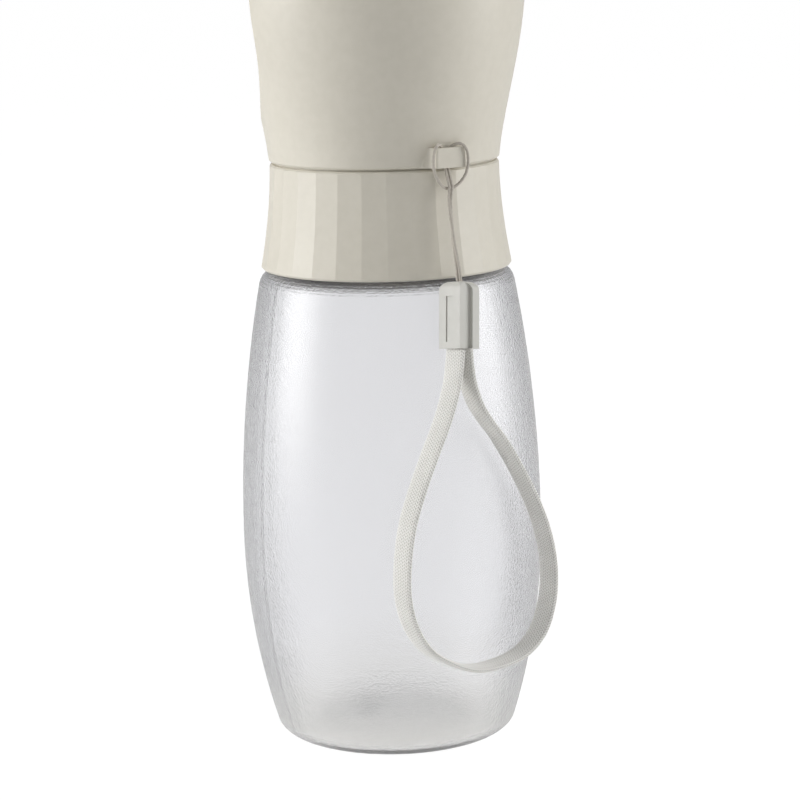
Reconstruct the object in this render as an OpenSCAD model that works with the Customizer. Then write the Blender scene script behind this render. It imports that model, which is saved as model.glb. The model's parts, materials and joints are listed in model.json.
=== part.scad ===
// Dog travel water bottle: a clear bottle, a screw collar, a scoop head with a push valve
// and a wrist strap. Millimetres, +Z up, origin at the centre of the base, front at -Y.

/* [Bottle] */
// Radius at the widest place of the bottle
belly_r = 37.1; // [35:0.1:40]
// Height of the widest place
belly_z = 51; // [46:1:62]
// Radius of the long curve below the widest place
lower_arc = 168; // [160:1:240]
// Radius of the long curve above the widest place
upper_arc = 329; // [280:1:340]
// Rounding between side and base
foot_fillet = 3.8; // [3:0.2:6]
// Height of the shoulder on which the neck stands
shoulder_z = 116.1; // [110:0.1:125]
// Rounding of the shoulder
shoulder_fillet = 4.3; // [2.6:0.1:4.6]
// Thickness of the bottle's wall
bottle_wall = 1.8; // [1.4:0.1:2]
// How far the middle of the base is pushed up
push_up = 3.4; // [2:0.2:5]
// Radius of the pushed-up dome in the base
dome_r = 20; // [16:0.5:22]
// Outer radius of the neck under its thread
neck_r = 24.4; // [24:0.1:24.8]
// Radius of the mouth
mouth_r = 22.6; // [21.5:0.1:22.8]
// Height of the neck over the shoulder
neck_h = 20.7; // [20:0.1:25]

/* [Screw collar] */
// Gap between the shoulder and the collar
shoulder_gap = 0.4; // [0.3:0.1:1.5]
// Radius across the flats at the collar's waist
waist_r = 27.75; // [27.6:0.05:29]
// Radius of the flared lower edge
flare_r = 30.6; // [30:0.1:32]
// How late the flare sets in
flare_power = 1.8; // [1.4:0.1:2.4]
// Number of flats round the collar
flats = 30; // [24:2:36]
// Radius of the bore that holds the thread
thread_bore_r = 26; // [25.8:0.1:26.2]
// Thickness of the plate that closes the collar
plate_t = 3.1; // [2.6:0.1:4]

/* [Seals] */
// Thickness of the flat seal over the mouth
gasket_t = 1.9; // [1.5:0.1:2.5]
// Inner radius of the flat seal
gasket_in_r = 21.8; // [20:0.2:22]
// Ring section radius of the small round seals
seal_section = 0.8; // [0.7:0.05:0.9]

/* [Head] */
// Visible gap between collar and head
seam_gap = 0.5; // [0.3:0.1:0.8]
// Outer radius of the head at the seam
head_neck_r = 27.95; // [27.8:0.05:29]
// Largest outer radius of the head
bulge_r = 34.9; // [34:0.1:36.5]
// Height of the largest radius over the seam
bulge_h = 46; // [42:1:50]
// Height of the head over the seam
head_h = 90; // [84:1:96]
// Wall of the head
head_wall = 2; // [1.6:0.1:2.4]
// Distance of the open face in front of the axis
face_y = 2; // [1.5:0.5:3]
// Height of the chin over the seam
chin_h = 4.6; // [4.2:0.2:6]
// Height at which the sweep of the chin runs into the open face
sweep_h = 30; // [28:0.5:31]
// Thickness of the panel and of the trough's rim
panel_t = 2; // [1.6:0.1:2.4]
// Height of the parting line between panel and trough
parting_h = 40.4; // [39.6:0.2:41]

/* [Drinking trough] */
// Room between the head's wall and the trough where the bowl is widest
bowl_room = 2.7; // [2.4:0.1:5]
// Depth of the bowl behind the open face
bowl_depth = 25; // [20:0.5:27]
// Height of the bowl's floor over the seam
bowl_floor_h = 43; // [42.6:0.2:45]
// Height at which the bowl is widest
bowl_wide_h = 54; // [52:1:58]
// Room between the head's crown and the top of the trough
crown_room = 2.9; // [2.4:0.1:6]
// Wall of the trough
trough_wall = 1.6; // [1.2:0.1:1.8]
// Radius of the water outlet
outlet_r = 2.6; // [2:0.1:3]

/* [Push valve] */
// Height of the valve's axis over the seam
valve_h = 21; // [20.5:0.5:22]
// Bore of the valve chamber
chamber_r = 6.5; // [6:0.1:7]
// Wall of the valve chamber
chamber_wall = 1.7; // [1.4:0.1:2]
// Radius of the valve stem
stem_r = 1.6; // [1.4:0.1:1.8]
// Radius of the hole in the valve seat
seat_r = 3.6; // [3.2:0.1:4]
// Travel of the button
press_travel = 3.5; // [2.5:0.1:3.6]
// Radius of the button's face
button_r = 8; // [7:0.1:8.4]
// How far the button stands out of its sleeve
button_proud = 3; // [2:0.2:4]
// Radius of the water port
port_r = 3.5; // [3:0.1:3.6]

/* [Lock slider] */
// Width of the slider's thumb piece
slider_w = 11; // [9:0.5:12]
// Height of the slider's thumb piece
slider_t = 4.4; // [3.6:0.2:4.6]
// Travel of the slider
slider_travel = 6; // [4:0.5:7]

/* [Strap] */
// Width of the flat wrist strap
strap_w = 6; // [5:0.2:7]
// Thickness of the wrist strap
strap_t = 1.3; // [1:0.1:1.4]
// Diameter of the string
string_d = 0.75; // [0.5:0.05:0.75]
// Height of the bead
bead_h = 15.6; // [14:0.2:18]
// Width of the bead
bead_w = 7; // [6.8:0.1:8]
// Depth of the bead
bead_d = 6.2; // [5.6:0.1:7]

/* [Hidden] */
$fn = 96;

// Clearances
touch = 0.05;
run = 0.08;
slide_gap = 0.25;
part_gap = 0.15;
cut = 1;

// Heights of the stack
rim_z = shoulder_z + neck_h;
ceiling_z = rim_z + gasket_t + 2 * touch;
collar_z = shoulder_z + shoulder_gap;
collar_top = ceiling_z + plate_t;
seam_z = collar_top + seam_gap / 2;
head_z = collar_top + seam_gap;

function arc(x, y, r, from, to, steps) =
    [for (i = [0:steps]) let (a = from + (to - from) * i / steps) [x + r * cos(a), y + r * sin(a)]];
function reversed(list) = [for (i = [len(list) - 1:-1:0]) list[i]];

module along_y() { rotate([-90, 0, 0]) children(); }

module pipe(outer, inner, height) {
    difference() {
        cylinder(r = outer, h = height);
        translate([0, 0, -cut]) cylinder(r = inner, h = height + 2 * cut);
    }
}

module seal_ring(mid, section) {
    rotate_extrude() translate([mid, 0]) circle(r = section, $fn = 32);
}

// A solid through rings of points that all have the same count, each turning left about the way on
module loft(rings) {
    n = len(rings[0]);
    last = len(rings) - 1;
    sides = [for (k = [0:last - 1], i = [0:n - 1])
        [(k + 1) * n + i, (k + 1) * n + (i + 1) % n, k * n + (i + 1) % n, k * n + i]];
    start = [for (i = [0:n - 1]) i];
    end = [for (i = [n - 1:-1:0]) last * n + i];
    polyhedron(points = [for (ring = rings) each ring], faces = concat([start], sides, [end]));
}

// Bottle
lower_x = belly_r - lower_arc;
upper_x = belly_r - upper_arc;
foot_x = lower_x + sqrt(pow(lower_arc - foot_fillet, 2) - pow(belly_z - foot_fillet, 2));
foot_angle = atan2(foot_fillet - belly_z, foot_x - lower_x);
shoulder_mid = shoulder_z - shoulder_fillet;
shoulder_x = upper_x + sqrt(pow(upper_arc - shoulder_fillet, 2) - pow(shoulder_mid - belly_z, 2));
shoulder_angle = atan2(shoulder_mid - belly_z, shoulder_x - upper_x);
dome_arc = (dome_r * dome_r + push_up * push_up) / (2 * push_up);
dome_angle = asin(dome_r / dome_arc);
lip = 0.5;

// The side from the base up to the shoulder, moved inwards by inset
function side_curve(inset) = concat(
    arc(foot_x, foot_fillet, foot_fillet - inset, -90, foot_angle, 8),
    arc(lower_x, belly_z, lower_arc - inset, foot_angle, 0, 14),
    arc(upper_x, belly_z, upper_arc - inset, 0, shoulder_angle, 14),
    arc(shoulder_x, shoulder_mid, shoulder_fillet - inset, shoulder_angle, 90, 6));
function dome_curve(lift) =
    arc(0, push_up - dome_arc + lift, dome_arc, 90, 90 - dome_angle, 6);

module bottle() {
    outer = concat(dome_curve(0), side_curve(0),
        arc(neck_r + 1, shoulder_z + 1, 1, 270, 180, 4),
        [[neck_r, rim_z - lip], [neck_r - lip, rim_z]]);
    inner = concat(dome_curve(bottle_wall), side_curve(bottle_wall),
        [[mouth_r, shoulder_z - bottle_wall], [mouth_r, rim_z - lip], [mouth_r + lip, rim_z]]);
    color([0.86, 0.89, 0.92, 0.4]) rotate_extrude() polygon(concat(outer, reversed(inner)));
}

module neck_gasket() {
    color([0.93, 0.93, 0.9])
        translate([0, 0, rim_z + touch]) pipe(thread_bore_r - run, gasket_in_r, gasket_t);
}

// Screw collar
collar_h = collar_top - collar_z;
flat_angle = 360 / flats;
edge_round = 0.45;
bevel_h = 1.6;
spigot_out = head_neck_r - head_wall - 0.7;
spigot_in = spigot_out - 2;
spigot_h = 6;
snap = 0.35;
port_y = 15.5;
boss_h = 3;
boss_r = 8;
riser_out = port_r + 1.4;
riser_socket = riser_out + 2 * seal_section;
screw_r = 1.1;
screw_boss_r = 2.6;
screw_boss_h = 5;

function collar_radius(z) =
    waist_r + (flare_r - waist_r) * pow((collar_top - z) / collar_h, flare_power);
// How flat the flats are at this height: they fade into the smooth lower bevel and top edge
function flatness(z) = min(1, (z - collar_z) / bevel_h) * min(1, (collar_top - z) / edge_round);
function edge_loss(z) = z < collar_z + edge_round ? edge_round * (1 - (z - collar_z) / edge_round)
    : z > collar_top - edge_round ? edge_round * (1 - (collar_top - z) / edge_round) : 0;
function collar_ring(z) = [for (i = [0:2 * flats - 1])
    let (a = i * flat_angle / 2,
         corner = i % 2 == 0 ? 1 / cos(flat_angle / 2) : 1,
         round_r = (1 + 1 / cos(flat_angle / 2)) / 2,
         r = collar_radius(z) * (flatness(z) * corner + (1 - flatness(z)) * round_r) - edge_loss(z))
    [r * cos(a), r * sin(a), z]];

// The screws sit round the port, the rear ones nearer, clear of the ring that holds the head
screw_angles = [10, 170, 270];
front_reach = 12;
rear_reach = 10.5;
function screw_reach(a) = a == 270 ? front_reach : rear_reach;
module screw_places() {
    for (a = screw_angles) {
        translate([screw_reach(a) * cos(a), port_y + screw_reach(a) * sin(a), 0]) children();
    }
}

module screw_collar() {
    levels = concat([collar_z, collar_z + edge_round],
        [for (i = [0:7]) collar_z + bevel_h + (collar_h - bevel_h - edge_round) * i / 7],
        [collar_top]);
    color([0.87, 0.85, 0.80]) difference() {
        union() {
            loft([for (z = levels) collar_ring(z)]);
            difference() {
                translate([0, 0, collar_top - cut]) rotate_extrude() polygon([
                    [spigot_in, 0], [spigot_out, 0], [spigot_out, cut + 3.6],
                    [spigot_out + snap, cut + 4.2], [spigot_out, cut + 5.2],
                    [spigot_out - 0.6, cut + spigot_h], [spigot_in, cut + spigot_h]]);
                in_front(panel_t + 3 * part_gap);
            }
            translate([0, port_y, collar_top - cut]) cylinder(r = boss_r, h = cut + boss_h);
            translate([0, 0, collar_top - cut]) screw_places()
                cylinder(r = screw_boss_r, h = cut + screw_boss_h);
        }
        translate([0, 0, collar_z - cut]) cylinder(r = thread_bore_r, h = ceiling_z - collar_z + cut);
        translate([0, 0, collar_z - cut])
            cylinder(r1 = thread_bore_r + 1.4, r2 = thread_bore_r, h = cut + 0.8);
        translate([0, port_y, ceiling_z - cut]) cylinder(r = port_r, h = plate_t + boss_h + 2 * cut);
        translate([0, port_y, collar_top]) cylinder(r = riser_socket, h = boss_h + cut);
        translate([0, 0, collar_top + 0.8]) screw_places() cylinder(r = screw_r, h = screw_boss_h);
    }
}

// Head
neck_round = 0.45;
flare_curve = 1.4;
crown = 2 / 2.2;
function head_radius(h, inset) =
    head_neck_r - inset + (bulge_r - head_neck_r) * pow(sin(90 * h / bulge_h), flare_curve);
// The outline of the head from height h up to its crown, moved inwards by inset
function head_curve(from, inset) = concat(
    [for (i = [0:12]) let (h = from + (bulge_h - from) * i / 12) [head_radius(h, inset), seam_z + h]],
    [for (a = [8:8:82]) [(bulge_r - inset) * pow(cos(a), crown),
        seam_z + bulge_h + (head_h - inset - bulge_h) * pow(sin(a), crown)]],
    [[0, seam_z + head_h - inset]]);
module head_form(from, inset) {
    rotate_extrude() polygon(concat([[0, seam_z + from]], head_curve(from, inset)));
}

// The open face in side view: a sweep up from the chin, then straight up
chin_y = -29.5;
sweep_y = -face_y - chin_y;
sweep_z = sweep_h - chin_h;
function face_curve(depth) = concat(
    arc_sweep(depth), [[-face_y + depth, seam_z + head_h + 10]]);
function arc_sweep(depth) = [for (a = [0:7.5:90])
    [chin_y + (sweep_y + depth) * sin(a), seam_z + sweep_h - (sweep_z + depth) * cos(a)]];
module side_prism(points, width) {
    translate([-width / 2, 0, 0]) rotate([90, 0, 90]) linear_extrude(width) polygon(points);
}
// Everything in front of the face, moved back by depth
module in_front(depth) {
    side_prism(concat([[-60, seam_z + chin_h - depth]], face_curve(depth),
        [[-60, seam_z + head_h + 10]]), 90);
}
module face_band(from, to) {
    side_prism(concat(face_curve(from), reversed(face_curve(to))), 90);
}

ledge = 1.2;
ledge_t = 1.5;
lug_w = 8.5;
lug_h = 4.7;
lug_out = 2.65;
slot_w = 4.3;
slot_in = head_neck_r + 0.65;
slot_d = 1;

// Half of the lug seen from above, from its soft foot on the head round to its flat back
lug_flank = 2;
lug_round = 0.6;
lug_half = concat([[lug_w / 2 + lug_flank + 1, -1.6], [lug_w / 2 + lug_flank, -0.6]],
    arc(lug_w / 2 + lug_flank, lug_flank - 0.4, lug_flank, 260, 195, 4),
    arc(lug_w / 2 - lug_round, lug_out - lug_round, lug_round, 0, 90, 3));
module lug_form() {
    half = [for (q = lug_half) [q[0], q[1] + head_neck_r]];
    translate([0, 0, head_z]) linear_extrude(lug_h) polygon(concat(half, mirrored(reversed(half))));
}

module head_shell() {
    foot_r = spigot_out + touch;
    foot_step = head_neck_r - 1.3;
    color([0.87, 0.85, 0.80]) {
        difference() {
            union() {
                rotate_extrude() polygon(concat(
                    [[0, collar_top], [foot_step, collar_top], [foot_step, head_z],
                     [head_neck_r - neck_round, head_z]],
                    head_curve(0.25 + neck_round, 0)));
                lug_form();
            }
            translate([0, 0, collar_top - cut])
                cylinder(r = foot_r, h = cut + spigot_h + 1);
            translate([0, 0, collar_top + 3]) cylinder(r = foot_r + snap, h = 2.6);
            head_form(spigot_h, head_wall);
            in_front(0);
            intersection() {
                in_front(panel_t + part_gap);
                head_form(0, head_wall);
            }
            translate([-slot_w / 2, slot_in, collar_top - cut])
                cube([slot_w, slot_d, cut + seam_gap + lug_h + 1]);
        }
        intersection() {
            face_band(panel_t, panel_t + ledge_t);
            difference() {
                head_form(spigot_h + 1, head_wall - 0.5);
                head_form(spigot_h, head_wall + ledge);
            }
        }
    }
}

// Front panel with the button's sleeve
sleeve_r = button_r + 3.2;
sleeve_front = -13;
flange_r = button_r + 1.5;
flange_front = -9;
valve_z = seam_z + valve_h;
// The slot keeps this much of the panel over it
slot_edge = 2.2;
slider_h = parting_h - slot_edge - slider_t / 2;
slider_z = seam_z + slider_h;
slot_len = slider_w + slider_travel + 0.6;

module front_panel() {
    color([0.87, 0.85, 0.80]) difference() {
        union() {
            intersection() {
                face_band(0, panel_t);
                head_form(1, head_wall + part_gap);
                translate([-50, -50, seam_z]) cube([100, 100, parting_h - part_gap / 2]);
            }
            difference() {
                translate([0, sleeve_front, valve_z]) along_y() {
                    translate([0, 0, 1]) cylinder(r = sleeve_r, h = -sleeve_front - face_y + 1);
                    cylinder(r1 = sleeve_r - 1, r2 = sleeve_r, h = 1);
                }
                side_prism(concat([[-60, 0], [-60, seam_z + chin_h - 1]],
                    face_curve(1), [[60, seam_z + head_h + 10], [60, 0]]), 90);
            }
        }
        translate([0, sleeve_front - cut, valve_z]) along_y()
            cylinder(r = button_r + slide_gap, h = 40);
        translate([0, flange_front, valve_z]) along_y()
            cylinder(r = flange_r + slide_gap, h = 40);
        translate([-slot_len / 2, -face_y - cut, slider_z - slider_t / 2 - slide_gap])
            cube([slot_len, panel_t + 2 * cut, slider_t + 2 * slide_gap]);
    }
}

// Drinking trough
bowl_r = bulge_r - head_wall - trough_wall - bowl_room;
bowl_top_h = head_h - head_wall - trough_wall - crown_room;
bowl_y = -face_y + bowl_depth - bowl_r;
floor_power = 2.6;
function bowl_curve(grow) = concat(
    [[0, seam_z + bowl_floor_h - grow]],
    [for (a = [12:12:84]) [(bowl_r + grow) * pow(sin(a), 2 / floor_power),
        seam_z + bowl_wide_h - (bowl_wide_h - bowl_floor_h + grow) * pow(cos(a), 2 / floor_power)]],
    [for (a = [0:9:81]) [(bowl_r + grow) * pow(cos(a), crown),
        seam_z + bowl_wide_h + (bowl_top_h - bowl_wide_h + grow) * pow(sin(a), crown)]],
    [[0, seam_z + bowl_top_h + grow]]);
module bowl_form(grow) {
    translate([0, bowl_y, 0]) rotate_extrude() polygon(bowl_curve(grow));
}
spout_y = 7.2;
spout_r = outlet_r + 2.2;
spout_z = seam_z + bowl_floor_h - 3;

module trough() {
    color([0.87, 0.85, 0.80]) difference() {
        union() {
            intersection() {
                face_band(0, panel_t);
                head_form(parting_h + part_gap / 2, head_wall + part_gap);
            }
            intersection() {
                bowl_form(trough_wall);
                translate([-50, -face_y + 0.5, seam_z]) cube([100, 60, 100]);
            }
            translate([0, spout_y, spout_z]) cylinder(r = spout_r, h = 3);
        }
        bowl_form(0);
        translate([0, spout_y, spout_z - cut]) cylinder(r = outlet_r, h = 12);
    }
}

// Push valve
chamber_out = chamber_r + chamber_wall;
chamber_front = 1.5;
front_wall = 3;
gland_depth = 1.8;
gland_r = stem_r + 2 * seal_section;
seat_y = 10;
seat_t = 1.5;
disc_t = 2.6;
// Behind the open disc the spring still needs its closed length
spring_room = 6.4;
chamber_back = seat_y + seat_t + disc_t + press_travel + spring_room;
outlet_tube = outlet_r + 1.2;
foot_gap = 0.4;
ear_z = collar_top + screw_boss_h;
ear_t = 1.8;
ear_r = 2.4;

module valve_body() {
    color([0.93, 0.93, 0.92]) difference() {
        union() {
            translate([0, chamber_front, valve_z]) along_y()
                cylinder(r = chamber_out, h = chamber_back - chamber_front);
            translate([0, port_y, collar_top + foot_gap])
                cylinder(r = riser_out, h = valve_z - collar_top - foot_gap);
            translate([0, spout_y, valve_z])
                cylinder(r = outlet_tube, h = spout_z - valve_z - foot_gap);
            screw_places() translate([0, 0, ear_z]) cylinder(r = ear_r, h = ear_t);
            for (a = screw_angles) ear_arm(a);
        }
        translate([0, port_y, collar_top]) cylinder(r = port_r, h = valve_z - collar_top);
        translate([0, spout_y, valve_z]) cylinder(r = outlet_r, h = 30);
        translate([0, chamber_front + front_wall, valve_z]) along_y()
            cylinder(r = chamber_r, h = seat_y - chamber_front - front_wall);
        translate([0, seat_y + seat_t, valve_z]) along_y() cylinder(r = chamber_r, h = 40);
        translate([0, seat_y - cut, valve_z]) along_y() cylinder(r = seat_r, h = seat_t + 2 * cut);
        translate([0, chamber_front - cut, valve_z]) along_y()
            cylinder(r = gland_r, h = gland_depth + cut);
        translate([0, chamber_front, valve_z]) along_y() cylinder(r = stem_r + run, h = front_wall + cut);
        screw_places() translate([0, 0, ear_z - cut]) cylinder(r = screw_r + 0.3, h = ear_t + 2 * cut);
    }
}

// The flat arm from the riser to one screw ear
module ear_arm(a) {
    translate([0, port_y, ear_z]) rotate(a) translate([0, -ear_r, 0])
        cube([screw_reach(a), 2 * ear_r, ear_t]);
}

module riser_seal() {
    color([0.2, 0.2, 0.2])
        translate([0, port_y, collar_top + seal_section + touch])
            seal_ring(riser_out + seal_section, seal_section - touch / 2);
}

cuff_h = 5;
module outlet_seal() {
    color([0.9, 0.9, 0.88]) translate([0, spout_y, spout_z - foot_gap - cuff_h]) difference() {
        cylinder(r = outlet_tube + 1.2, h = cuff_h + foot_gap - touch);
        translate([0, 0, -cut]) cylinder(r = outlet_tube + touch, h = cuff_h + cut);
        cylinder(r = outlet_r, h = 2 * cuff_h);
    }
}

screw_head_h = 1.4;
screw_tip_gap = 1;
drive_w = 0.6;
module valve_screws() {
    color([0.7, 0.7, 0.72]) screw_places() translate([0, 0, ear_z + ear_t]) {
        difference() {
            translate([0, 0, touch / 2]) cylinder(r1 = ear_r - 0.3, r2 = ear_r - 0.7, h = screw_head_h);
            for (a = [0, 90]) rotate(a) translate([-ear_r / 2, -drive_w / 2, screw_head_h / 2])
                cube([ear_r, drive_w, screw_head_h]);
        }
        translate([0, 0, screw_tip_gap - ear_t - screw_boss_h])
            cylinder(r = screw_r - touch, h = ear_t + screw_boss_h - screw_tip_gap + 2 * touch);
    }
}

end_plug = 2.6;
end_t = 2;
plug_neck_r = chamber_r - 1.3;
spring_cup = 1.6;
module end_cap() {
    color([0.93, 0.93, 0.92]) translate([0, chamber_back, valve_z]) along_y() difference() {
        union() {
            translate([0, 0, touch]) cylinder(r = chamber_out, h = end_t);
            rotate_extrude() polygon([[0, -end_plug], [chamber_r - touch, -end_plug],
                [chamber_r - touch, -end_plug + 0.5], [plug_neck_r, -end_plug + 0.5],
                [plug_neck_r, -0.3], [chamber_r - touch, -0.3],
                [chamber_r - touch, touch + 0.2], [0, touch + 0.2]]);
        }
        translate([0, 0, -end_plug - cut]) cylinder(r = spring_r + 0.8, h = cut + spring_cup);
    }
}
module end_cap_seal() {
    section = (chamber_r - plug_neck_r - touch) / 2;
    color([0.2, 0.2, 0.2]) translate([0, chamber_back - end_plug / 2, valve_z]) along_y()
        seal_ring(plug_neck_r + touch / 2 + section, section);
}
module stem_seal() {
    color([0.2, 0.2, 0.2]) translate([0, chamber_front + seal_section + touch, valve_z]) along_y()
        seal_ring(stem_r + seal_section, seal_section - touch / 2);
}

disc_r = 5.4;
disc_y = seat_y + seat_t + touch;
spring_wire = 0.6;
spring_r = 3.4;
spring_turns = 5;
spring_front = disc_y + disc_t + spring_wire / 2 + touch;
spring_back = chamber_back - end_plug + spring_cup - spring_wire / 2 - touch;

module valve_disc() {
    color([0.75, 0.32, 0.25]) translate([0, disc_y, valve_z]) along_y() rotate_extrude() polygon([
        [stem_r + touch, 0], [disc_r - 0.8, 0], [disc_r, 0.8], [disc_r, disc_t - 0.6],
        [disc_r - 0.6, disc_t], [stem_r + touch, disc_t]]);
}

// One polyhedron swept along points, with a section given as [sideways, across] pairs
function unit(v) = v / norm(v);
function way_on(p, i) = unit(p[min(i + 1, len(p) - 1)] - p[max(i - 1, 0)]);
function upright(u, t) = unit(u - (u * t) * t);
function carried(p, first) =
    [for (i = 0, u = upright(first, way_on(p, 0)); i < len(p);
          i = i + 1, u = i < len(p) ? upright(u, way_on(p, i)) : u) u];
module sweep(p, section, first) {
    u = carried(p, first);
    loft([for (i = [0:len(p) - 1]) let (v = cross(way_on(p, i), u[i]))
        [for (q = section) p[i] + q[0] * u[i] + q[1] * v]]);
}
function round_section(r, sides) = [for (i = [0:sides - 1]) r * [cos(360 * i / sides), sin(360 * i / sides)]];

module valve_spring() {
    steps = 12;
    turns = spring_turns * steps;
    coil = [for (i = [0:turns]) [spring_r * cos(360 * i / steps),
        spring_front + (spring_back - spring_front) * i / turns,
        valve_z + spring_r * sin(360 * i / steps)]];
    color([0.75, 0.75, 0.78]) sweep(coil, round_section(spring_wire / 2, 6), [1, 0, 0]);
}

button_front = sleeve_front - button_proud;
button_back = flange_front + 1.6;
button_boss_r = 3.2;
stem_front = button_front + 4;
module valve_stem() {
    color([0.8, 0.8, 0.82]) translate([0, stem_front, valve_z]) along_y()
        cylinder(r = stem_r, h = disc_y - stem_front + disc_t);
}
stem_collar_y = -4.9;
stem_collar_r = 4;
stem_collar_t = 1.4;
module stem_collar() {
    color([0.6, 0.6, 0.62]) translate([0, stem_collar_y, valve_z]) along_y()
        pipe(stem_collar_r, stem_r + touch, stem_collar_t);
}
module push_button() {
    color([0.93, 0.92, 0.88]) difference() {
        union() {
            translate([0, button_front, valve_z]) along_y() rotate_extrude() polygon(concat(
                [[0, 0.9]], arc(0, 36.9, 36, -90, -90 + asin((button_r - 1) / 36), 5),
                arc(button_r - 1, 2.6, 1, -70, 0, 4),
                [[button_r, flange_front + touch - button_front],
                 [flange_r, flange_front + touch - button_front],
                 [flange_r, button_back - button_front], [0, button_back - button_front]]));
            translate([0, button_back - 0.5, valve_z]) along_y()
                cylinder(r = button_boss_r, h = stem_collar_y - button_back + 0.5 - touch);
        }
        translate([0, stem_front - touch, valve_z]) along_y() cylinder(r = stem_r + touch / 2, h = 20);
        translate([0, button_back - 3.6, valve_z]) along_y() pipe(button_r - 1.4, button_boss_r, 10);
    }
}

blade_y = -face_y + panel_t + slide_gap / 2;
blade_t = 1.1;
blade_x = -1.2;
blade_w = 4;
// The tooth reaches forward through the sleeve's bore to behind the collar on the stem
tooth_y = stem_collar_y + stem_collar_t + 0.15;
tooth_z = valve_h + stem_collar_r + 0.6 - slider_h;
tooth_t = 1.8;
slider_proud = 1.6;
rib_gap = 0.7;
// The plate behind the slot covers it at both ends of the travel
plate_len = slot_len + slider_travel + 1;
module lock_slider() {
    color([0.93, 0.92, 0.88]) translate([-slider_travel / 2, 0, slider_z]) {
        difference() {
            translate([-slider_w / 2, -face_y - slider_proud, -slider_t / 2])
                cube([slider_w, slider_proud + panel_t + blade_t, slider_t]);
            for (x = [-3:1.5:3]) translate([x - rib_gap / 2, -face_y - 2 * slider_proud + 0.5, -slider_t])
                cube([rib_gap, slider_proud, 2 * slider_t]);
        }
        translate([-plate_len / 2, blade_y, -slider_t / 2 - 1]) cube([plate_len, blade_t, slider_t + 2]);
        translate([blade_x, blade_y, tooth_z]) cube([blade_w, blade_t, -tooth_z]);
        translate([blade_x, tooth_y, tooth_z]) cube([blade_w, blade_y + blade_t - tooth_y, tooth_t]);
    }
}

// Strap, string and bead
string_r = string_d / 2;
knot_x = 0.6;
strand_x = 0.4;
strand_twist = 130;
// One side of the loop round the lug, from below the slot, over the top and down to the middle
hitch_side = [[0.4, 31, 138], [0.4, 30.4, 139.5], [0.4, 29.8, 141], [0.4, 29.3, 142.6],
    [0.45, 29.1, 144.2], [0.65, 29.1, 145.7], [1.1, 29.2, 146.9], [1.9, 29.65, 147.6],
    [2.9, 30.4, 147.9], [3.8, 31, 147.4], [4.45, 31.2, 146.3], [4.75, 31.2, 145],
    [4.8, 31.2, 143.5], [4.55, 31.15, 142], [4, 31.1, 140.6], [3.1, 30.9, 139.3],
    [2, 30.6, 138.3], [1, 30.35, 137.75]];
hitch_mid = [0, 30.2, 137.6];
strand_route = [[0.2, 31.15, 137.4], [0.6, 31.45, 135], [0.7, 31.75, 132.6], [0.7, 32.3, 129.3],
    [0.75, 33.05, 125.5], [0.85, 34.2, 121.9], [1.05, 35.2, 119], [1.3, 36.05, 116.3]];
bead_top = [1.9, 36, 116.45];
bead_lean = [7.5, -8.5, 10];
strap_turn = 10;
strap_origin = [1.1, 40.85, 0];
strap_bow = 0.00085;
strap_bow_z = 50;
strap_route = [[4.2, 101.4], [6.1, 93.3], [9.5, 85.6], [14, 78.1], [18.2, 70.6], [21.6, 63],
    [23.4, 55], [23.7, 46.8], [21.7, 39.2], [17.3, 32.7], [11.1, 28.2], [3.1, 24.7], [-5, 23.9],
    [-13.4, 25.1], [-19.5, 29.3], [-22.7, 36.2], [-23.4, 43.6], [-22.2, 51.3], [-19.3, 59.3],
    [-14.3, 68.7], [-8.2, 78.1], [-3.9, 83.4], [-0.7, 88.2], [1.1, 93.4], [1.6, 97.2],
    [1.75, 101.4]];

function shifted(p, d) = [for (q = p) q + d];
function mirrored(p) = [for (q = p) len(q) == 2 ? [-q[0], q[1]] : [-q[0], q[1], q[2]]];

module string_hitch() {
    route = concat(mirrored(hitch_side), [hitch_mid], reversed(hitch_side));
    color([0.72, 0.70, 0.66])
        sweep(shifted(route, [knot_x, 0, 0]), round_section(string_r, 8), [1, 0, 0.1]);
}
module string_strands() {
    last = len(strand_route) - 1;
    color([0.72, 0.70, 0.66]) for (side = [-1, 1]) {
        route = [for (i = [0:last]) let (a = strand_twist * i / last)
            strand_route[i] + side * strand_x * [cos(a), sin(a), 0]];
        sweep(shifted(route, [knot_x, 0, 0]), round_section(string_r, 8), [1, 0, 0]);
    }
}

bead_round = 2;
bead_top_t = 3;
groove_w = 3.8;
groove_d = 0.9;
plate_front = 0.3;
window_w = 2.4;
window_h = 10.6;
window_d = 0.3;
window_top = 3.4;
socket_w = bead_w - 2 * groove_d - 1.6;
socket_d = bead_d - 2 * window_d - 1.4;
module bead_place() {
    translate(bead_top) rotate(bead_lean) children();
}
// Round-topped upright plate of width w and height h, extruded by t
module arch(w, h, r, t) {
    translate([0, 0, -h]) rotate([90, 0, 0]) linear_extrude(t, center = true) {
        translate([-w / 2, 0]) square([w, h - r]);
        if (w > 2 * r) translate([-w / 2 + r, 0]) square([w - 2 * r, h]);
        for (x = [-1, 1]) translate([x * (w / 2 - r), h - r]) circle(r = r);
    }
}
module bead_shell() {
    color([0.80, 0.80, 0.78]) bead_place() difference() {
        intersection() {
            arch(bead_d, bead_h, bead_round, 20);
            rotate(90) arch(bead_w, bead_h, bead_round, 20);
        }
        for (side = [-1, 1]) {
            translate([bead_d / 2 - plate_front - groove_w / 2, side * (bead_w / 2 + 2 - groove_d), -0.3])
                arch(groove_w, bead_h + 2, groove_w / 2, 4);
            translate([side * bead_d / 2 - window_d, -window_w / 2, -window_top - window_h])
                cube([2 * window_d, window_w, window_h]);
        }
        translate([-socket_d / 2, -socket_w / 2, -bead_h - cut])
            cube([socket_d, socket_w, bead_h - bead_top_t + cut]);
    }
}
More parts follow.
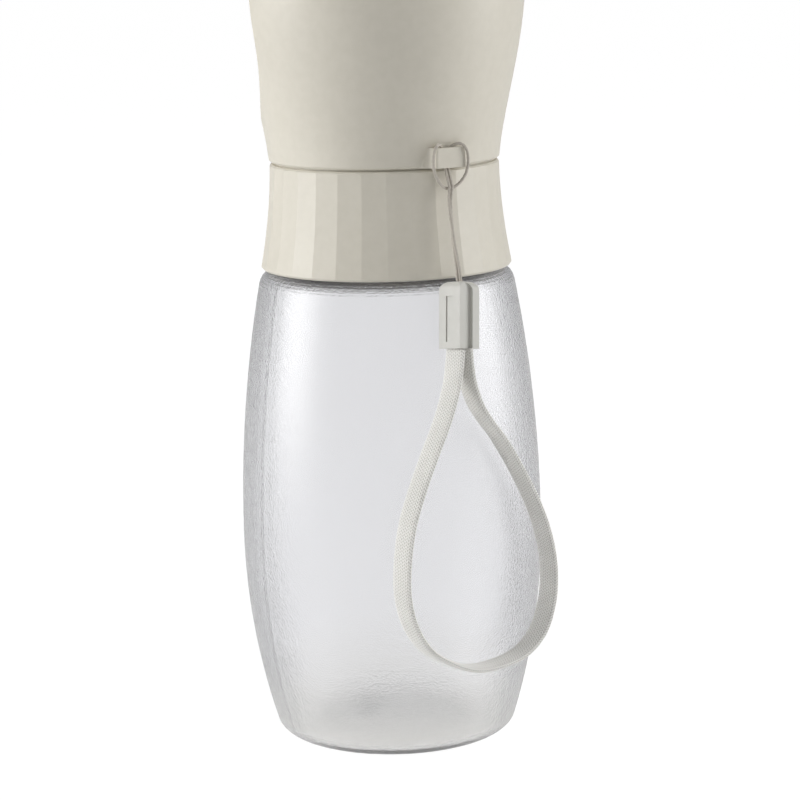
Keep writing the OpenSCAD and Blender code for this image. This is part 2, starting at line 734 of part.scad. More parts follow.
module bead_core() {
    color([0.80, 0.80, 0.78]) bead_place()
        translate([touch - socket_d / 2, touch - socket_w / 2, -bead_h + 0.3])
            cube([socket_d - 2 * touch, socket_w - 2 * touch, bead_h - bead_top_t - 0.6]);
}

module wrist_strap() {
    way = [cos(strap_turn), sin(strap_turn), 0];
    side = [-sin(strap_turn), cos(strap_turn), 0];
    // Over the belly the loop bows in towards the bead
    route = [for (q = strap_route) strap_origin + q[0] * way
        + [0, -strap_bow * pow(max(0, q[1] - strap_bow_z), 2), q[1]]];
    w = strap_w / 2;
    t = strap_t / 2;
    section = [[w, -t / 2], [w, t / 2], [w - t / 2, t], [t / 2 - w, t],
               [-w, t / 2], [-w, -t / 2], [t / 2 - w, -t], [w - t / 2, -t]];
    color([0.88, 0.87, 0.83]) sweep(route, section, side);
}

bottle();
neck_gasket();
screw_collar();
head_shell();
front_panel();
trough();
valve_body();
riser_seal();
outlet_seal();
valve_screws();
end_cap();
end_cap_seal();
stem_seal();
valve_spring();
valve_disc();
valve_stem();
stem_collar();
push_button();
lock_slider();
string_hitch();
string_strands();
bead_shell();
bead_core();
wrist_strap();
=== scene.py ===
import bpy
import json
import math
import numpy as np
from mathutils import Matrix, Vector

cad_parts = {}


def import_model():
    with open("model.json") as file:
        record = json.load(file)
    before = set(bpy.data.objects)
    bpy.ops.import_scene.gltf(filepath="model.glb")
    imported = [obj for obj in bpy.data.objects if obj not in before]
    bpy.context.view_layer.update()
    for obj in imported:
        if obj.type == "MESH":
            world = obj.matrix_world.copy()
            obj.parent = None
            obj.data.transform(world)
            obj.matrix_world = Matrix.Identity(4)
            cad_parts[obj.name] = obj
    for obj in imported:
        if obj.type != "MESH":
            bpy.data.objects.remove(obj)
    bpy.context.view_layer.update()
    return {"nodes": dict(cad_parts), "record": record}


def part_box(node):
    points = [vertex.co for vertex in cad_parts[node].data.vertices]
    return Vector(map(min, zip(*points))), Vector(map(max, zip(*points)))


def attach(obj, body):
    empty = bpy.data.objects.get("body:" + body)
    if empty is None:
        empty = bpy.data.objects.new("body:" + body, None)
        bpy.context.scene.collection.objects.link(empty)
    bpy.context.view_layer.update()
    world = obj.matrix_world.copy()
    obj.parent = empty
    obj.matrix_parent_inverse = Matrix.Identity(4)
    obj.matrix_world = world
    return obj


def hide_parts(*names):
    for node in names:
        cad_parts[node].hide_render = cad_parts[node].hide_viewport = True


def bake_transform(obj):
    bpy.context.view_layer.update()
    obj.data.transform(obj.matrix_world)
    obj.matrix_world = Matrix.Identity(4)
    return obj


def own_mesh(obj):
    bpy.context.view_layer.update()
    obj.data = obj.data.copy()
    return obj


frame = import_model()
MM = 0.001
CURVE_SAMPLES = 24


# ---------------------------------------------------------------- helpers
def mesh_object(name, verts, faces, smooth=True):
    """A linked object with the given points and faces."""
    mesh = bpy.data.meshes.new(name)
    mesh.from_pydata([tuple(map(float, v)) for v in verts], [],
                     [tuple(map(int, f)) for f in faces])
    mesh.validate()
    mesh.polygons.foreach_set("use_smooth", [smooth] * len(mesh.polygons))
    obj = bpy.data.objects.new(name, mesh)
    bpy.context.scene.collection.objects.link(obj)
    return obj


def dress(obj, material, body=None, nodes=()):
    """Give a piece its material, the nodes it replaces and the body it rides on."""
    obj.data.materials.clear()
    obj.data.materials.append(material)
    if nodes:
        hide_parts(*nodes)
    if body:
        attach(obj, body)
    return obj


def unit(v):
    return v / np.linalg.norm(v, axis=-1, keepdims=True)


def smooth_path(points, step):
    """A cubic curve through the points, with points about step apart."""
    p = np.array(points, float)
    ext = np.vstack([2 * p[0] - p[1], p, 2 * p[-1] - p[-2]])
    fine = []
    for i in range(1, len(ext) - 2):
        a, b, c, d = ext[i - 1], ext[i], ext[i + 1], ext[i + 2]
        for t in np.linspace(0, 1, CURVE_SAMPLES, endpoint=False):
            fine.append(0.5 * (2 * b + (c - a) * t + (2 * a - 5 * b + 4 * c - d) * t * t
                               + (3 * b - a - 3 * c + d) * t ** 3))
    fine = np.array(fine + [p[-1]])
    along = np.concatenate([[0], np.cumsum(np.linalg.norm(np.diff(fine, axis=0), axis=1))])
    at = np.linspace(0, along[-1], max(2, int(round(along[-1] / step)) + 1))
    return np.stack([np.interp(at, along, fine[:, k]) for k in range(3)], axis=1)


def frames_along(path, first):
    """A carried side vector and its perpendicular, at each point of the path."""
    t = unit(np.gradient(path, axis=0))
    side = np.zeros_like(path)
    u = np.array(first, float)
    for i in range(len(path)):
        u = u - (u @ t[i]) * t[i]
        u = u / np.linalg.norm(u)
        side[i] = u
    return side, np.cross(t, side)


def tube_faces(rings, n):
    """The faces of a tube of rings of n points each, with its two ends."""
    faces = [(k * n + i, k * n + (i + 1) % n, (k + 1) * n + (i + 1) % n, (k + 1) * n + i)
             for k in range(rings - 1) for i in range(n)]
    faces.append(tuple(range(n - 1, -1, -1)))
    faces.append(tuple((rings - 1) * n + i for i in range(n)))
    return faces


def set_crown(obj, values):
    """Store how high each point stands on its yarn, from 0 in a crevice to 1 on top; the yarn
    material paints shade from it.
    """
    layer = obj.data.attributes.new("crown", "FLOAT", "POINT")
    layer.data.foreach_set("value", np.ascontiguousarray(values, dtype=np.float32).reshape(-1))


# ---------------------------------------------------------------- node materials
class Nodes:
    """A node material under construction."""

    def __init__(self, name):
        self.mat = bpy.data.materials.new(name)
        self.mat.use_nodes = True
        self.tree = self.mat.node_tree
        self.tree.nodes.clear()
        self.out = self.tree.nodes.new("ShaderNodeOutputMaterial")

    def add(self, kind, links=None, **values):
        """A node of this kind, with links {input: output} and properties."""
        node = self.tree.nodes.new(kind)
        for key, value in values.items():
            setattr(node, key, value)
        for socket, source in (links or {}).items():
            self.tree.links.new(source, node.inputs[socket])
        return node

    def link(self, a, b):
        self.tree.links.new(a, b)

    def coords(self, scale=(1, 1, 1)):
        """Object coordinates in metres, stretched by scale."""
        tc = self.add("ShaderNodeTexCoord")
        mp = self.add("ShaderNodeMapping", {"Vector": tc.outputs["Object"]})
        mp.inputs["Scale"].default_value = scale
        return mp.outputs["Vector"]

    def noise(self, vector, scale, detail=3.0, roughness=0.5):
        n = self.add("ShaderNodeTexNoise", {"Vector": vector})
        n.inputs["Scale"].default_value = scale
        n.inputs["Detail"].default_value = detail
        n.inputs["Roughness"].default_value = roughness
        return n.outputs["Fac"]

    def ramp(self, source, stops):
        """A colour ramp through (position, colour) stops."""
        r = self.add("ShaderNodeValToRGB", {"Fac": source})
        e = r.color_ramp.elements
        while len(e) < len(stops):
            e.new(0.5)
        for el, (pos, col) in zip(e, stops):
            el.position = pos
            el.color = (*col, 1)
        return r.outputs["Color"]

    def span(self, source, low, high, to_low, to_high):
        """Map low..high of the source to to_low..to_high, clamped."""
        m = self.add("ShaderNodeMapRange", {"Value": source})
        m.inputs["From Min"].default_value = low
        m.inputs["From Max"].default_value = high
        m.inputs["To Min"].default_value = to_low
        m.inputs["To Max"].default_value = to_high
        return m.outputs["Result"]

    def math(self, op, a, b):
        m = self.add("ShaderNodeMath", operation=op)
        for i, x in enumerate((a, b)):
            if isinstance(x, (int, float)):
                m.inputs[i].default_value = x
            else:
                self.link(x, m.inputs[i])
        return m.outputs[0]

    def bump(self, height, distance):
        b = self.add("ShaderNodeBump", {"Height": height})
        b.inputs["Distance"].default_value = distance
        b.inputs["Strength"].default_value = 1.0
        return b.outputs["Normal"]

    def multiply(self, a, b):
        """The product of two colours."""
        m = self.add("ShaderNodeMix", data_type="RGBA", blend_type="MULTIPLY")
        m.inputs[0].default_value = 1.0
        self.link(a, m.inputs[6])
        self.link(b, m.inputs[7])
        return m.outputs[2]

    def principled(self, color, roughness, normal):
        """The main shader, linked to the output; a plain roughness goes on its own socket."""
        p = self.add("ShaderNodeBsdfPrincipled")
        self.link(color, p.inputs["Base Color"])
        if isinstance(roughness, float):
            p.inputs["Roughness"].default_value = roughness
        else:
            self.link(roughness, p.inputs["Roughness"])
        self.link(normal, p.inputs["Normal"])
        self.link(p.outputs[0], self.out.inputs["Surface"])
        return p

    def mix_shaders(self, share, first, second):
        """Make the surface the first shader, and the second by its share."""
        m = self.add("ShaderNodeMixShader")
        for i, source in enumerate((share, first, second)):
            self.link(source, m.inputs[i])
        self.link(m.outputs[0], self.out.inputs["Surface"])


def srgb(r, g, b):
    """A display colour from 0 to 255 as linear values."""
    def one(v):
        v /= 255
        return v / 12.92 if v <= 0.04045 else ((v + 0.055) / 1.055) ** 2.4
    return (one(r), one(g), one(b))


def tones(color, dark, light, top=0.7):
    """Stops for a ramp from a darker to a lighter shade of the colour."""
    return [(0.3, tuple(c * dark for c in color)),
            (top, tuple(min(1, c * light) for c in color))]


# Noise scales are per metre, and bump depths are in metres
FLOW_SCALE, FLECK_SCALE, GLOSS_SCALE = 18, 420, 60
MOULD_SCALE, MOULD_DEPTH = 900, 0.00002
FLECK_TONE = (0.975, 0.975, 0.97)
WHITE = (1, 1, 1)


def plastic(name, color, rough):
    """Moulded plastic: fine erosion grain, faint flow tone and uneven gloss."""
    n = Nodes(name)
    v = n.coords()
    flow = n.ramp(n.noise(v, FLOW_SCALE, 3), tones(color, 0.96, 1.024))
    fleck = n.ramp(n.noise(v, FLECK_SCALE, 2), [(0.35, FLECK_TONE), (0.65, WHITE)])
    fine = n.noise(v, MOULD_SCALE, 2, 0.6)
    wide = n.noise(v, GLOSS_SCALE, 2)
    uneven = n.math("ADD", n.math("MULTIPLY", wide, 0.6), n.math("MULTIPLY", fine, 0.4))
    gloss = n.span(uneven, 0.3, 0.7, rough - 0.05, rough + 0.07)
    p = n.principled(n.multiply(flow, fleck), gloss, n.bump(fine, MOULD_DEPTH))
    p.inputs["IOR"].default_value = 1.49
    return n.mat


POWDER_SCALE, POWDER_DEPTH, MOTTLE_SCALE = 1400, 0.00003, 90


def rubber(name, color, rough=0.6):
    """Matt soft rubber with a powdery grain and a mottled tone."""
    n = Nodes(name)
    v = n.coords()
    fine = n.noise(v, POWDER_SCALE, 3)
    mottle = n.ramp(n.noise(v, MOTTLE_SCALE, 2), tones(color, 0.9, 1.06))
    gloss = n.span(fine, 0.3, 0.7, rough - 0.08, rough + 0.1)
    n.principled(mottle, gloss, n.bump(fine, POWDER_DEPTH))
    return n.mat


STREAK_STRETCH, STREAK_SCALE, STREAK_DEPTH = (1, 40, 1), 120, 0.00001
STEEL_DARK, STEEL_LIGHT = (0.46, 0.46, 0.47), (0.66, 0.66, 0.67)


def steel(name):
    """Drawn steel with streaks across its length."""
    n = Nodes(name)
    streak = n.noise(n.coords(STREAK_STRETCH), STREAK_SCALE, 3)
    tone = n.ramp(streak, [(0.3, STEEL_DARK), (0.7, STEEL_LIGHT)])
    gloss = n.span(streak, 0.3, 0.7, 0.22, 0.36)
    p = n.principled(tone, gloss, n.bump(streak, STREAK_DEPTH))
    p.inputs["Metallic"].default_value = 1.0
    return n.mat


FUZZ_SCALE, FUZZ_DEPTH, SHADE_SCALE, YARN_ROUGH = 5200, 0.00004, 160, 0.85
# Painted shade: dark in the crevices between stitches and plies, greyer on their slopes
CREVICE_PAINTED_SHADE, SLOPE_PAINTED_SHADE = (0.22, 0.21, 0.19), (0.62, 0.61, 0.59)


def yarn(name, color):
    """Twisted fibre with fuzz and a soft tone, and painted shade where the mesh's crown value is
    low, in the crevices between stitches and plies.
    """
    n = Nodes(name)
    v = n.coords()
    fuzz = n.noise(v, FUZZ_SCALE, 3, 0.7)
    tone = n.ramp(n.noise(v, SHADE_SCALE, 2), tones(color, 0.95, 1.02, top=0.72))
    crown = n.add("ShaderNodeAttribute", attribute_name="crown").outputs["Fac"]
    # Painted shade from the crown value: dark in the crevices, white on the crowns
    painted_crevice_shade = n.ramp(crown, [(0.0, CREVICE_PAINTED_SHADE), (0.35, SLOPE_PAINTED_SHADE), (0.75, WHITE)])
    p = n.principled(n.multiply(tone, painted_crevice_shade), YARN_ROUGH, n.bump(fuzz, FUZZ_DEPTH))
    p.inputs["Sheen Weight"].default_value = 0.25
    p.inputs["Sheen Roughness"].default_value = 0.5
    return n.mat


# The bottle's wall: its peel, its gloss, and its foot from low to high in metres
PEEL_CELLS, PEEL_SOFTNESS, PEEL_NOISE, PEEL_DEPTH = 1800, 0.3, 2300, 0.00006
WALL_GLOSS_SCALE, WALL_GLOSS = 2100, (0.185, 0.258)
FOOT_LOW, FOOT_TINT_HIGH, FOOT_MILK_HIGH = 0.002, 0.02, 0.017
FOOT_TINT, WALL_TINT = (0.99, 0.985, 0.965), (0.988, 0.989, 0.998)
FOOT_CLEAR, WALL_CLEAR = 0.87, 0.95
WALL_HAZE, WALL_HAZE_DENSITY = (0, 0, 0.03, 1), 68
LAMP_TINT, LAMP_SHARE = (0.9, 0.9, 0.9, 1), 0.8


def bottle_clear(name):
    """Clear plastic with a peel grain and milky foot, darker where its wall is seen edge on."""
    n = Nodes(name)
    v = n.coords()
    cells = n.add("ShaderNodeTexVoronoi", {"Vector": v}, feature="SMOOTH_F1")
    cells.inputs["Scale"].default_value = PEEL_CELLS
    cells.inputs["Smoothness"].default_value = PEEL_SOFTNESS
    peel = n.math("ADD", n.math("MULTIPLY", cells.outputs["Distance"], 0.8),
                  n.math("MULTIPLY", n.noise(v, PEEL_NOISE, 2), 0.5))
    height = n.add("ShaderNodeSeparateXYZ", {"Vector": v}).outputs["Z"]
    tint = n.ramp(n.span(height, FOOT_LOW, FOOT_TINT_HIGH, 0, 1),
                  [(0.0, FOOT_TINT), (1.0, WALL_TINT)])
    gloss = n.span(n.noise(v, WALL_GLOSS_SCALE, 1), 0.35, 0.65, *WALL_GLOSS)
    g = n.principled(tint, gloss, n.bump(peel, PEEL_DEPTH))
    g.inputs["Specular IOR Level"].default_value = 0.33
    n.link(n.span(height, FOOT_LOW, FOOT_MILK_HIGH, FOOT_CLEAR, WALL_CLEAR),
           g.inputs["Transmission Weight"])
    g.inputs["IOR"].default_value = 1.45
    # Lamps shine through the thin wall
    through = n.add("ShaderNodeBsdfTransparent")
    through.inputs["Color"].default_value = LAMP_TINT
    shadow = n.add("ShaderNodeLightPath").outputs["Is Shadow Ray"]
    n.mix_shaders(n.math("MULTIPLY", shadow, LAMP_SHARE), g.outputs[0], through.outputs[0])
    haze = n.add("ShaderNodeVolumeAbsorption")
    haze.inputs["Color"].default_value = WALL_HAZE
    haze.inputs["Density"].default_value = WALL_HAZE_DENSITY
    n.link(haze.outputs[0], n.out.inputs["Volume"])
    return n.mat


CREAM = srgb(217, 212, 199)
M = {
    "shell": plastic("shell_cream", CREAM, rough=0.4),
    "inner": plastic("inner_white", srgb(232, 232, 228), rough=0.45),
    "button": plastic("button_warm", srgb(208, 203, 190), rough=0.36),
    "bead": plastic("bead_grey", srgb(205, 204, 198), rough=0.5),
    "seal_white": rubber("seal_white", srgb(226, 223, 214)),
    "seal_dark": rubber("seal_dark", srgb(46, 46, 46)),
    "steel": steel("steel"),
    "string": yarn("string_beige", srgb(190, 183, 173)),
    "strap": yarn("strap_knit", srgb(252, 251, 247)),
    "bottle": bottle_clear("bottle_clear"),
    "scar": rubber("gate_scar", srgb(62, 62, 68), rough=0.5),
}

# ---------------------------------------------------------------- camera
AZIMUTH = math.radians(149.2)
DISTANCE, EYE_Z = 0.6, 0.2004
PITCH, YAW, ROLL = math.radians(11.116), math.radians(0.2458), math.radians(-1.26)
FOCAL_PX, FRAME_PX, SENSOR = 2470, 800, 36


def set_camera():
    """The photograph's camera, fitted as one pinhole view."""
    def world(v):
        return Vector((v[0] * math.cos(AZIMUTH) - v[1] * math.sin(AZIMUTH),
                       v[0] * math.sin(AZIMUTH) + v[1] * math.cos(AZIMUTH), v[2]))
    cp, sp, cy, sy = math.cos(PITCH), math.sin(PITCH), math.cos(YAW), math.sin(YAW)
    forward = Vector((sy * cp, cy * cp, -sp))
    right = Vector((cy, -sy, 0))
    up = right.cross(forward)
    c, s = math.cos(ROLL), math.sin(ROLL)
    right, up = c * right + s * up, c * up - s * right
    right, up, forward = world(right), world(up), world(forward)
    data = bpy.data.cameras.new("camera")
    data.sensor_width = SENSOR
    data.lens = FOCAL_PX / FRAME_PX * SENSOR
    data.clip_start, data.clip_end = 0.01, 60
    cam = bpy.data.objects.new("camera", data)
    place = world(Vector((0, -DISTANCE, EYE_Z)))
    cam.matrix_world = Matrix((
        (right.x, up.x, -forward.x, place.x),
        (right.y, up.y, -forward.y, place.y),
        (right.z, up.z, -forward.z, place.z),
        (0, 0, 0, 1)))
    bpy.context.scene.collection.objects.link(cam)
    bpy.context.scene.camera = cam


set_camera()

# ---------------------------------------------------------------- cords
# The string, in mm: the hitch's half loop round the lug, and one strand down to the bead
KNOT_X = 0.6
STRAND_X = 0.4
STRAND_TWIST = math.radians(130)
STRING_D = 0.75
STRING_STEP, STRING_SIDES = 0.16, 14
STRING_LAY, STRING_FLUTE = 2.1, 0.2
HITCH_SIDE = [[0.4, 31, 138], [0.4, 30.4, 139.5], [0.4, 29.8, 141], [0.4, 29.3, 142.6],
              [0.45, 29.1, 144.2], [0.65, 29.1, 145.7], [1.1, 29.2, 146.9], [1.9, 29.65, 147.6],
              [2.9, 30.4, 147.9], [3.8, 31, 147.4], [4.45, 31.2, 146.3], [4.75, 31.2, 145],
              [4.8, 31.2, 143.5], [4.55, 31.15, 142], [4, 31.1, 140.6], [3.1, 30.9, 139.3],
              [2, 30.6, 138.3], [1, 30.35, 137.75]]
HITCH_MID = [0, 30.2, 137.6]
STRAND = [[0.2, 31.15, 137.4], [0.6, 31.45, 135], [0.7, 31.75, 132.6], [0.7, 32.3, 129.3],
          [0.75, 33.05, 125.5], [0.85, 34.2, 121.9], [1.05, 35.2, 119], [1.3, 36.05, 116.3]]
# The strap, in mm: its plane, how it bows in over the belly, and its loop in that plane
STRAP_TURN = math.radians(10)
STRAP_ORIGIN = np.array([1.1, 40.85, 0])
STRAP_BOW, STRAP_BOW_Z = 0.00085, 50
STRAP_W, STRAP_T = 6.0, 1.3
# How much of width and thickness is under the stitches' relief, and how square the section is
STRAP_SHARE, STRAP_CORNER = (0.94, 0.8), 3.2
SECTION_SAMPLES = 2000
# The knit: columns round the section, and in metres a row's height and the stitches' relief
COLUMNS, STITCH, LEAN = 20, 0.00074, 0.9
KNIT_RISE, KNIT_SINK = 0.0003, 0.0001
STRAP_STEP, QUICK_STEP = 0.00017, 0.0005
COLUMN_POINTS, QUICK_POINTS = 6, 40
STRAP_ROUTE = [[4.2, 101.4], [6.1, 93.3], [9.5, 85.6], [14, 78.1], [18.2, 70.6], [21.6, 63],
               [23.4, 55], [23.7, 46.8], [21.7, 39.2], [17.3, 32.7], [11.1, 28.2], [3.1, 24.7],
               [-5, 23.9], [-13.4, 25.1], [-19.5, 29.3], [-22.7, 36.2], [-23.4, 43.6],
               [-22.2, 51.3], [-19.3, 59.3], [-14.3, 68.7], [-8.2, 78.1], [-3.9, 83.4],
               [-0.7, 88.2], [1.1, 93.4], [1.6, 97.2], [1.75, 101.4]]


def make_string():
    """One string: up from the bead, through and round the lug, and back down into the bead."""
    def at(points, dx):
        return [[p[0] + dx, p[1], p[2]] for p in points]

    def strand(side):
        turns = [STRAND_TWIST * i / (len(STRAND) - 1) for i in range(len(STRAND))]
        return [[p[0] + KNOT_X + side * STRAND_X * math.cos(a),
                 p[1] + side * STRAND_X * math.sin(a), p[2]]
                for p, a in zip(STRAND, turns)]

    left = [[-p[0], p[1], p[2]] for p in HITCH_SIDE]
    route = (strand(-1)[::-1] + at(left, KNOT_X) + at([HITCH_MID], KNOT_X)
             + at(HITCH_SIDE[::-1], KNOT_X) + strand(1))
    step = STRING_STEP * MM
    path = smooth_path(np.array(route) * MM, step)
    side, across = frames_along(path, (1, 0, 0))
    n = STRING_SIDES
    angle = np.arange(n) * 2 * math.pi / n
    twist = 2 * math.pi * np.arange(len(path)) * step / (STRING_LAY * MM)
    # Two twisted plies: full on their crowns, fluted between them
    ply = np.abs(np.cos(angle[None, :] - twist[:, None])) ** 0.7
    r = STRING_D / 2 * MM * (1 - STRING_FLUTE + STRING_FLUTE * ply)
    rings = (path[:, None, :] + side[:, None, :] * (r * np.cos(angle))[..., None]
             + across[:, None, :] * (r * np.sin(angle))[..., None])
    obj = mesh_object("lanyard_string", rings.reshape(-1, 3), tube_faces(len(path), n))
    # The crown value paints shade in the flutes between the two plies
    set_crown(obj, 0.6 + 0.4 * ply)
    dress(obj, M["string"], None, ("string_hitch", "string_strands"))
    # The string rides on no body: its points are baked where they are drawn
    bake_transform(obj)
    length = float(np.linalg.norm(np.diff(path, axis=0), axis=1).sum())
    return obj, path, length


def make_strap():
    """The flat knitted loop, both ends inside the bead."""
    way = np.array([math.cos(STRAP_TURN), math.sin(STRAP_TURN), 0])
    flat = np.array([-math.sin(STRAP_TURN), math.cos(STRAP_TURN), 0])
    route = [STRAP_ORIGIN + x * way + np.array([0, -STRAP_BOW * max(0, z - STRAP_BOW_Z) ** 2, z])
             for x, z in STRAP_ROUTE]
    step = STRAP_STEP
    path = smooth_path(np.array(route) * MM, step)
    side, across = frames_along(path, flat)
    # A rounded flat section, and how far round it each point is
    n = COLUMN_POINTS * COLUMNS
    w, h = STRAP_W / 2 * MM * STRAP_SHARE[0], STRAP_T / 2 * MM * STRAP_SHARE[1]
    a = np.linspace(0, 2 * math.pi, SECTION_SAMPLES, endpoint=False)
    power = 2 / STRAP_CORNER
    sx = w * np.sign(np.cos(a)) * np.abs(np.cos(a)) ** power
    sy = h * np.sign(np.sin(a)) * np.abs(np.sin(a)) ** power
    run = np.concatenate([[0], np.cumsum(np.hypot(np.diff(sx), np.diff(sy)))])
    total = run[-1] + math.hypot(sx[0] - sx[-1], sy[0] - sy[-1])
    want = np.arange(n) / n * total
    px, py = np.interp(want, run, sx), np.interp(want, run, sy)
    nx, ny = np.gradient(py), -np.gradient(px)
    nl = np.hypot(nx, ny)
    nx, ny = nx / nl, ny / nl
    # Knitted columns of slanted stitches, which lean left and right by turns
    u = np.arange(n) / n * COLUMNS
    v = np.arange(len(path)) * step / STITCH
    uu, vv = np.meshgrid(u, v)
    column, across_stitch = np.floor(uu), uu - np.floor(uu)
    lean = np.where(column % 2 == 0, 1, -1) * (across_stitch - 0.5) * LEAN
    along = vv + lean - np.floor(vv + lean)
    bulge = (np.clip(1 - (2 * along - 1) ** 2, 0, 1) ** 0.8
             * (0.45 + 0.55 * np.sin(math.pi * across_stitch) ** 0.6))
    lift = bulge * KNIT_RISE - KNIT_SINK
    ring = (path[:, None, :] + side[:, None, :] * (px[None, :] + nx[None, :] * lift)[..., None]
            + across[:, None, :] * (py[None, :] + ny[None, :] * lift)[..., None])
    obj = mesh_object("knit_strap", ring.reshape(-1, 3), tube_faces(len(path), n))
    # The stitches' relief is stored as the crown value, which paints shade between the stitches
    set_crown(obj, bulge)
    dress(obj, M["strap"], "lanyard_body", ("wrist_strap",))
    return obj, path, float(np.linalg.norm(np.diff(path, axis=0), axis=1).sum())


string_obj, string_path, string_len = make_string()
strap_obj, strap_path, strap_len = make_strap()

# ---------------------------------------------------------------- CAD nodes
SLOT_MATERIAL = {
    "shell_cream": "shell", "inner_white": "inner", "button_warm": "button", "bead_grey": "bead",
    "seal_white": "seal_white", "seal_dark": "seal_dark", "steel": "steel",
    "bottle_clear": "bottle", "string_beige": "string", "strap_knit": "strap",
}
for part in frame["record"]["subparts"]:
    node = frame["nodes"][part["node"]]
    node.data.materials.clear()
    node.data.materials.append(M[SLOT_MATERIAL[part["material_slot"]]])


# ---------------------------------------------------------------- pieces of the scene alone
# The thread in mm: neck radius, lead, turns and start; the share that fades at each end; its
# section as (out, up)
NECK_R, THREAD_LEAD, THREAD_TURNS, THREAD_LOW = 24.4, 4.0, 1.4, 120.5
THREAD_FADE, THREAD_STEPS = 0.06, 150
THREAD_SECTION = [(-0.25, -1.15), (0.95, -0.5), (0.95, 0.35), (-0.25, 1.0)]
# The gate mark: its centre, and rings of (radius, height)
GATE = (7.0, -1.6, 2.95)
GATE_RINGS = [(0.0, -0.25), (1.1, -0.3), (1.9, -0.1), (2.5, 0.15)]
GATE_SIDES = 20
# The spring: wire, turns, how many lie closed at each end and their pitch in wires
SPRING_WIRE, SPRING_TURNS, SPRING_END_TURNS, SPRING_END_PITCH = 0.6, 6, 0.9, 1.08
SPRING_STEPS, SPRING_SIDES = 36, 12
# Width in mm of the soft edges of the moulded nodes
SOFT_EDGES = (("bead_shell", 0.25), ("lock_slider", 0.2), ("trough", 0.25),
              ("front_panel", 0.2), ("push_button", 0.15))
SOFT_SEGMENTS, SOFT_ANGLE = 3, math.radians(50)


def make_thread():
    """The screw thread round the bottle's neck, which fades in and out at its ends."""
    steps, section = THREAD_STEPS, THREAD_SECTION
    verts = []
    for i in range(steps + 1):
        t = i / steps
        a = 2 * math.pi * THREAD_TURNS * t
        rise = min(1, t / THREAD_FADE, (1 - t) / THREAD_FADE)
        z = THREAD_LOW + THREAD_LEAD * THREAD_TURNS * t
        for out, up in section:
            r = NECK_R + (out * rise if out > 0 else out)
            verts.append((r * math.cos(a) * MM, r * math.sin(a) * MM, (z + up) * MM))
    obj = mesh_object("neck_thread", verts, tube_faces(steps + 1, len(section)), smooth=False)
    dress(obj, M["bottle"], "bottle_body")


def make_gate_mark():
    """The rough little scar under the pushed-up base, where the moulding was cut off."""
    cx, cy, z = GATE
    n = GATE_SIDES
    verts = [(cx * MM, cy * MM, (z + GATE_RINGS[0][1]) * MM)]
    for k, (r, dz) in enumerate(GATE_RINGS[1:]):
        for i in range(n):
            a = 2 * math.pi * i / n
            rr = r * (1 + 0.12 * math.sin(3 * a + k) + 0.07 * math.sin(7 * a + 2 * k))
            verts.append(((cx + rr * math.cos(a)) * MM, (cy + rr * math.sin(a)) * MM,
                          (z + dz) * MM))
    faces = [(0, 1 + (i + 1) % n, 1 + i) for i in range(n)]
    for k in range(len(GATE_RINGS) - 2):
        a, b = 1 + k * n, 1 + (k + 1) * n
        faces += [(a + i, a + (i + 1) % n, b + (i + 1) % n, b + i) for i in range(n)]
    obj = mesh_object("gate_mark", verts, faces)
    dress(obj, M["scar"], "bottle_body")


def make_spring():
    """The valve's wire spring with closed end turns."""
    low, high = (np.array(corner, float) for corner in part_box("valve_spring"))
    wire = SPRING_WIRE / 2 * MM
    middle, radius = (low + high) / 2, (high[0] - low[0]) / 2 - wire
    front, back = low[1] + wire, high[1] - wire
    closed = SPRING_END_TURNS * SPRING_END_PITCH * SPRING_WIRE * MM
    turn = np.linspace(0, SPRING_TURNS, SPRING_STEPS * SPRING_TURNS + 1)
    y = np.interp(turn, [0, SPRING_END_TURNS, SPRING_TURNS - SPRING_END_TURNS, SPRING_TURNS],
                  [front, front + closed, back - closed, back])
    path = np.stack([middle[0] + radius * np.cos(2 * math.pi * turn), y,
                     middle[2] + radius * np.sin(2 * math.pi * turn)], axis=1)
    side, across = frames_along(path, (1, 0, 0))
    n = SPRING_SIDES
    angle = np.arange(n) * 2 * math.pi / n
    rings = (path[:, None, :] + wire * (side[:, None, :] * np.cos(angle)[:, None]
                                        + across[:, None, :] * np.sin(angle)[:, None]))
    obj = mesh_object("spring_coil", rings.reshape(-1, 3), tube_faces(len(path), n))
    dress(obj, M["steel"], "head_body", ("valve_spring",))
    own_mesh(obj)


make_thread()
make_gate_mark()
make_spring()

# Moulded edges are a little soft
for name, width in SOFT_EDGES:
    bevel = frame["nodes"][name].modifiers.new("soft_edges", "BEVEL")
    bevel.width = width * MM
    bevel.segments = SOFT_SEGMENTS
    bevel.limit_method = "ANGLE"
    bevel.angle_limit = SOFT_ANGLE
    bevel.use_clamp_overlap = True


# ---------------------------------------------------------------- studio
SOFT_WORLD, WHITE_WORLD, GLOSSY_SHARE = 0.28, 1.0, 0.1
FLOOR_SIZE, FLOOR_GLOW, FLOOR_THROUGH = 20, 1.08, 0.08
FLOOR_SEEN, FLOOR_GLOSSY = 0.9, 0.24
FLOOR_DARK, FLOOR_LIGHT = (0.93,) * 3, (0.95,) * 3
AIM = (0, 0, 0.13)
# Lamps: azimuth from the camera to the right, elevation, distance, size, watts
LAMPS = {
    "left_box": (-82, 8, 1.1, (0.65, 1.3), 13),
    "right_box": (87, 8, 1.1, (0.65, 1.3), 10),
    "top_box": (0, 78, 1.3, (1.0, 1.0), 2.5),
}


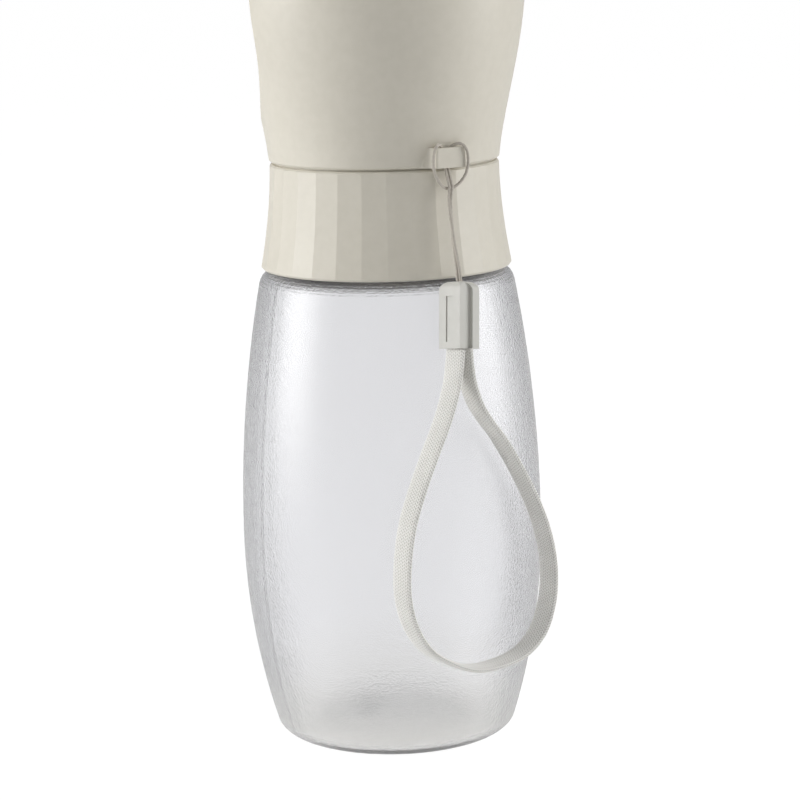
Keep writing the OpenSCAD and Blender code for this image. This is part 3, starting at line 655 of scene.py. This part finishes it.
def make_world():
    """Soft even light, which camera and clear plastic see as white."""
    world = bpy.data.worlds.new("studio")
    bpy.context.scene.world = world
    world.use_nodes = True
    tree = world.node_tree
    tree.nodes.clear()

    def background(strength):
        node = tree.nodes.new("ShaderNodeBackground")
        node.inputs["Color"].default_value = (1, 1, 1, 1)
        node.inputs["Strength"].default_value = strength
        return node.outputs[0]
    path = tree.nodes.new("ShaderNodeLightPath")
    either = tree.nodes.new("ShaderNodeMath")
    either.operation = "MAXIMUM"
    tree.links.new(path.outputs["Is Camera Ray"], either.inputs[0])
    tree.links.new(path.outputs["Is Transmission Ray"], either.inputs[1])
    gloss = tree.nodes.new("ShaderNodeMath")
    gloss.operation = "MULTIPLY_ADD"
    gloss.use_clamp = True
    gloss.inputs[1].default_value = GLOSSY_SHARE
    tree.links.new(path.outputs["Is Glossy Ray"], gloss.inputs[0])
    tree.links.new(either.outputs[0], gloss.inputs[2])
    mix = tree.nodes.new("ShaderNodeMixShader")
    tree.links.new(gloss.outputs[0], mix.inputs[0])
    tree.links.new(background(SOFT_WORLD), mix.inputs[1])
    tree.links.new(background(WHITE_WORLD), mix.inputs[2])
    out = tree.nodes.new("ShaderNodeOutputWorld")
    tree.links.new(mix.outputs[0], out.inputs["Surface"])


def make_floor():
    """A pale floor that looks white to the camera and keeps the object's shadow."""
    n = Nodes("floor")
    tone = n.ramp(n.noise(n.coords(), 3, 2), [(0.3, FLOOR_DARK), (0.7, FLOOR_LIGHT)])
    matte = n.add("ShaderNodeBsdfDiffuse", {"Color": tone})
    light = n.add("ShaderNodeLightPath").outputs
    glow = n.add("ShaderNodeEmission")
    glow.inputs["Color"].default_value = (1, 1, 1, 1)
    through = n.math("MULTIPLY", light["Is Transmission Ray"], FLOOR_THROUGH)
    n.link(n.math("ADD", through, FLOOR_GLOW), glow.inputs["Strength"])
    seen = n.math("MAXIMUM", light["Is Camera Ray"], light["Is Transmission Ray"])
    share = n.math("MAXIMUM", n.math("MULTIPLY", seen, FLOOR_SEEN),
                   n.math("MULTIPLY", light["Is Glossy Ray"], FLOOR_GLOSSY))
    n.mix_shaders(share, matte.outputs[0], glow.outputs[0])
    s = FLOOR_SIZE
    floor = mesh_object("floor", [(-s, -s, 0), (s, -s, 0), (s, s, 0), (-s, s, 0)], [(0, 1, 2, 3)])
    floor.data.materials.append(n.mat)


def make_lamp(name, azimuth, elevation, distance, size, watts):
    """An area lamp aimed at the object's middle."""
    data = bpy.data.lights.new(name, "AREA")
    data.shape = "RECTANGLE"
    data.size, data.size_y = size
    data.energy = watts
    obj = bpy.data.objects.new(name, data)
    a = AZIMUTH + math.radians(azimuth)
    e = math.radians(elevation)
    place = distance * Vector((math.sin(a) * math.cos(e), -math.cos(a) * math.cos(e), math.sin(e)))
    obj.location = Vector(AIM) + place
    obj.rotation_euler = (-place).to_track_quat("-Z", "Y").to_euler()
    bpy.context.scene.collection.objects.link(obj)


bpy.context.scene.view_settings.view_transform = "Standard"
make_world()
make_floor()
for lamp, setting in LAMPS.items():
    make_lamp(lamp, *setting)
